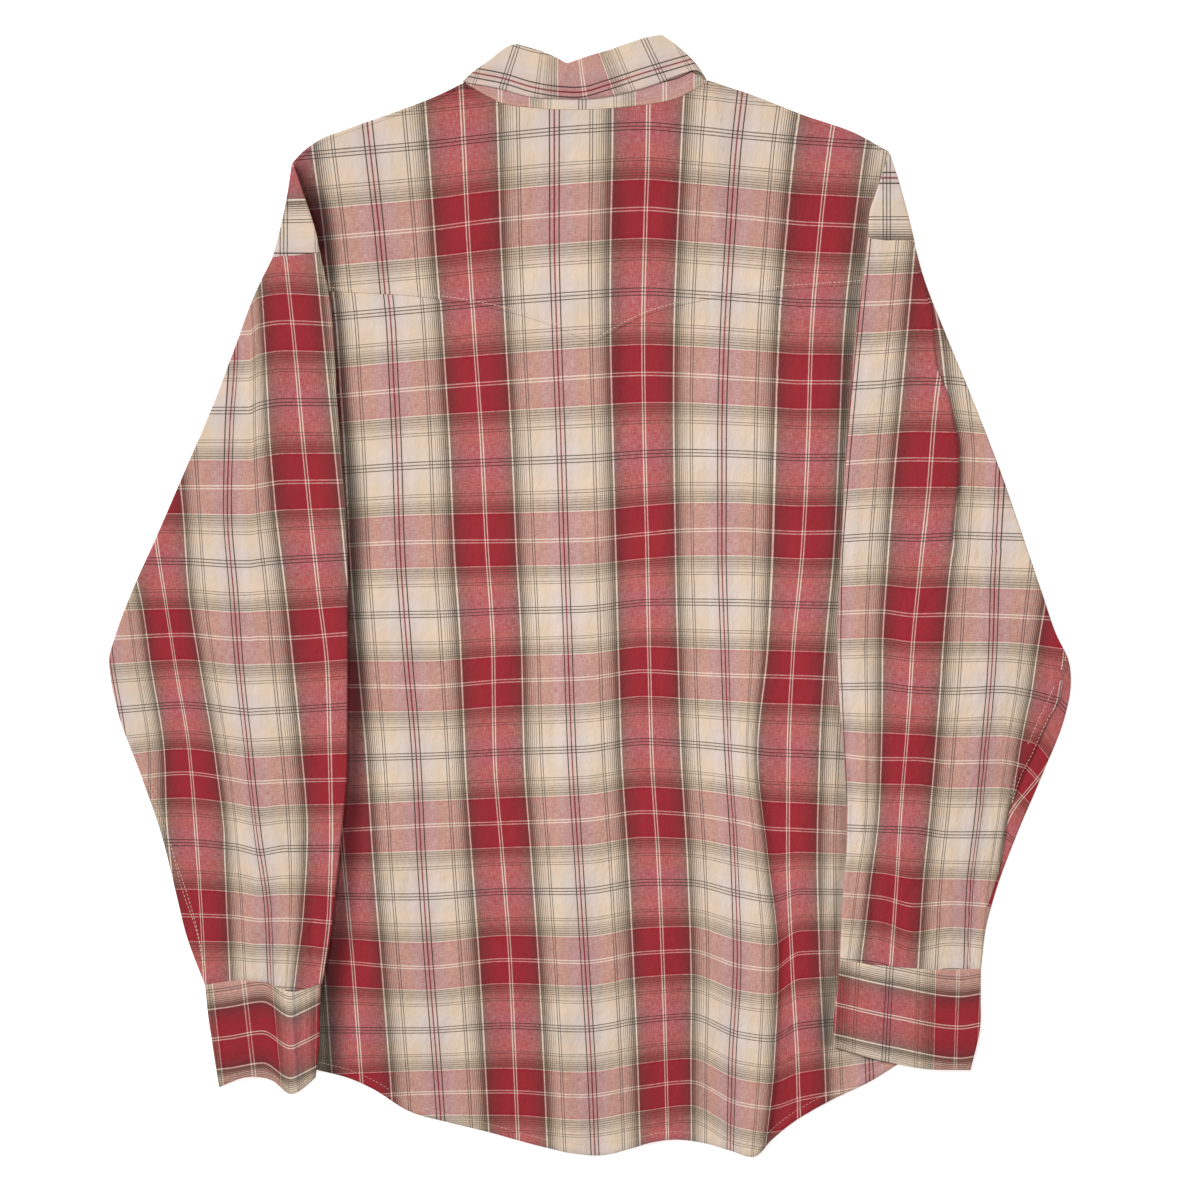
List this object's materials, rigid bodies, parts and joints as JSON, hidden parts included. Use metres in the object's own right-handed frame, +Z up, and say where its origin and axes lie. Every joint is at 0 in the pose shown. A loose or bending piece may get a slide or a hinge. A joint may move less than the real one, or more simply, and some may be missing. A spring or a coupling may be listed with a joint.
{
  "type": "western snap shirt",
  "caption": "Long-sleeved checked western shirt with pointed back yoke and snap front, laid face down with its sleeves folded over the back.",
  "frame": {"origin": "on the surface the shirt lies on, below the middle of its box", "axes": "+X from the wearer's left to right as the back is seen, +Y from hem to collar, +Z up away from the surface"},
  "size_m": [0.7421, 0.8632, 0.0091],
  "materials": {
    "check_cotton": "plain-weave cotton in a red, cream and grey-green ombre check",
    "pearl_snap": "pearly cap with a thin metal rim",
    "stitch_thread": "cream sewing thread"
  },
  "bodies": {
    "root": {"front_left": "check_cotton", "front_right": "check_cotton", "front_placket": "check_cotton", "back_yoke": "check_cotton", "back_panel": "check_cotton", "collar_stand": "check_cotton", "collar_fall": "check_cotton", "sleeve_left": "check_cotton", "cuff_left": "check_cotton", "sleeve_right": "check_cotton", "cuff_right": "check_cotton", "snap_1": "pearl_snap", "snap_2": "pearl_snap", "snap_3": "pearl_snap", "snap_4": "pearl_snap", "snap_5": "pearl_snap", "snap_6": "pearl_snap", "snap_7": "pearl_snap", "cuff_snap_left_1": "pearl_snap", "cuff_snap_left_2": "pearl_snap", "cuff_snap_right_1": "pearl_snap", "cuff_snap_right_2": "pearl_snap"}
  },
  "joints": []
}
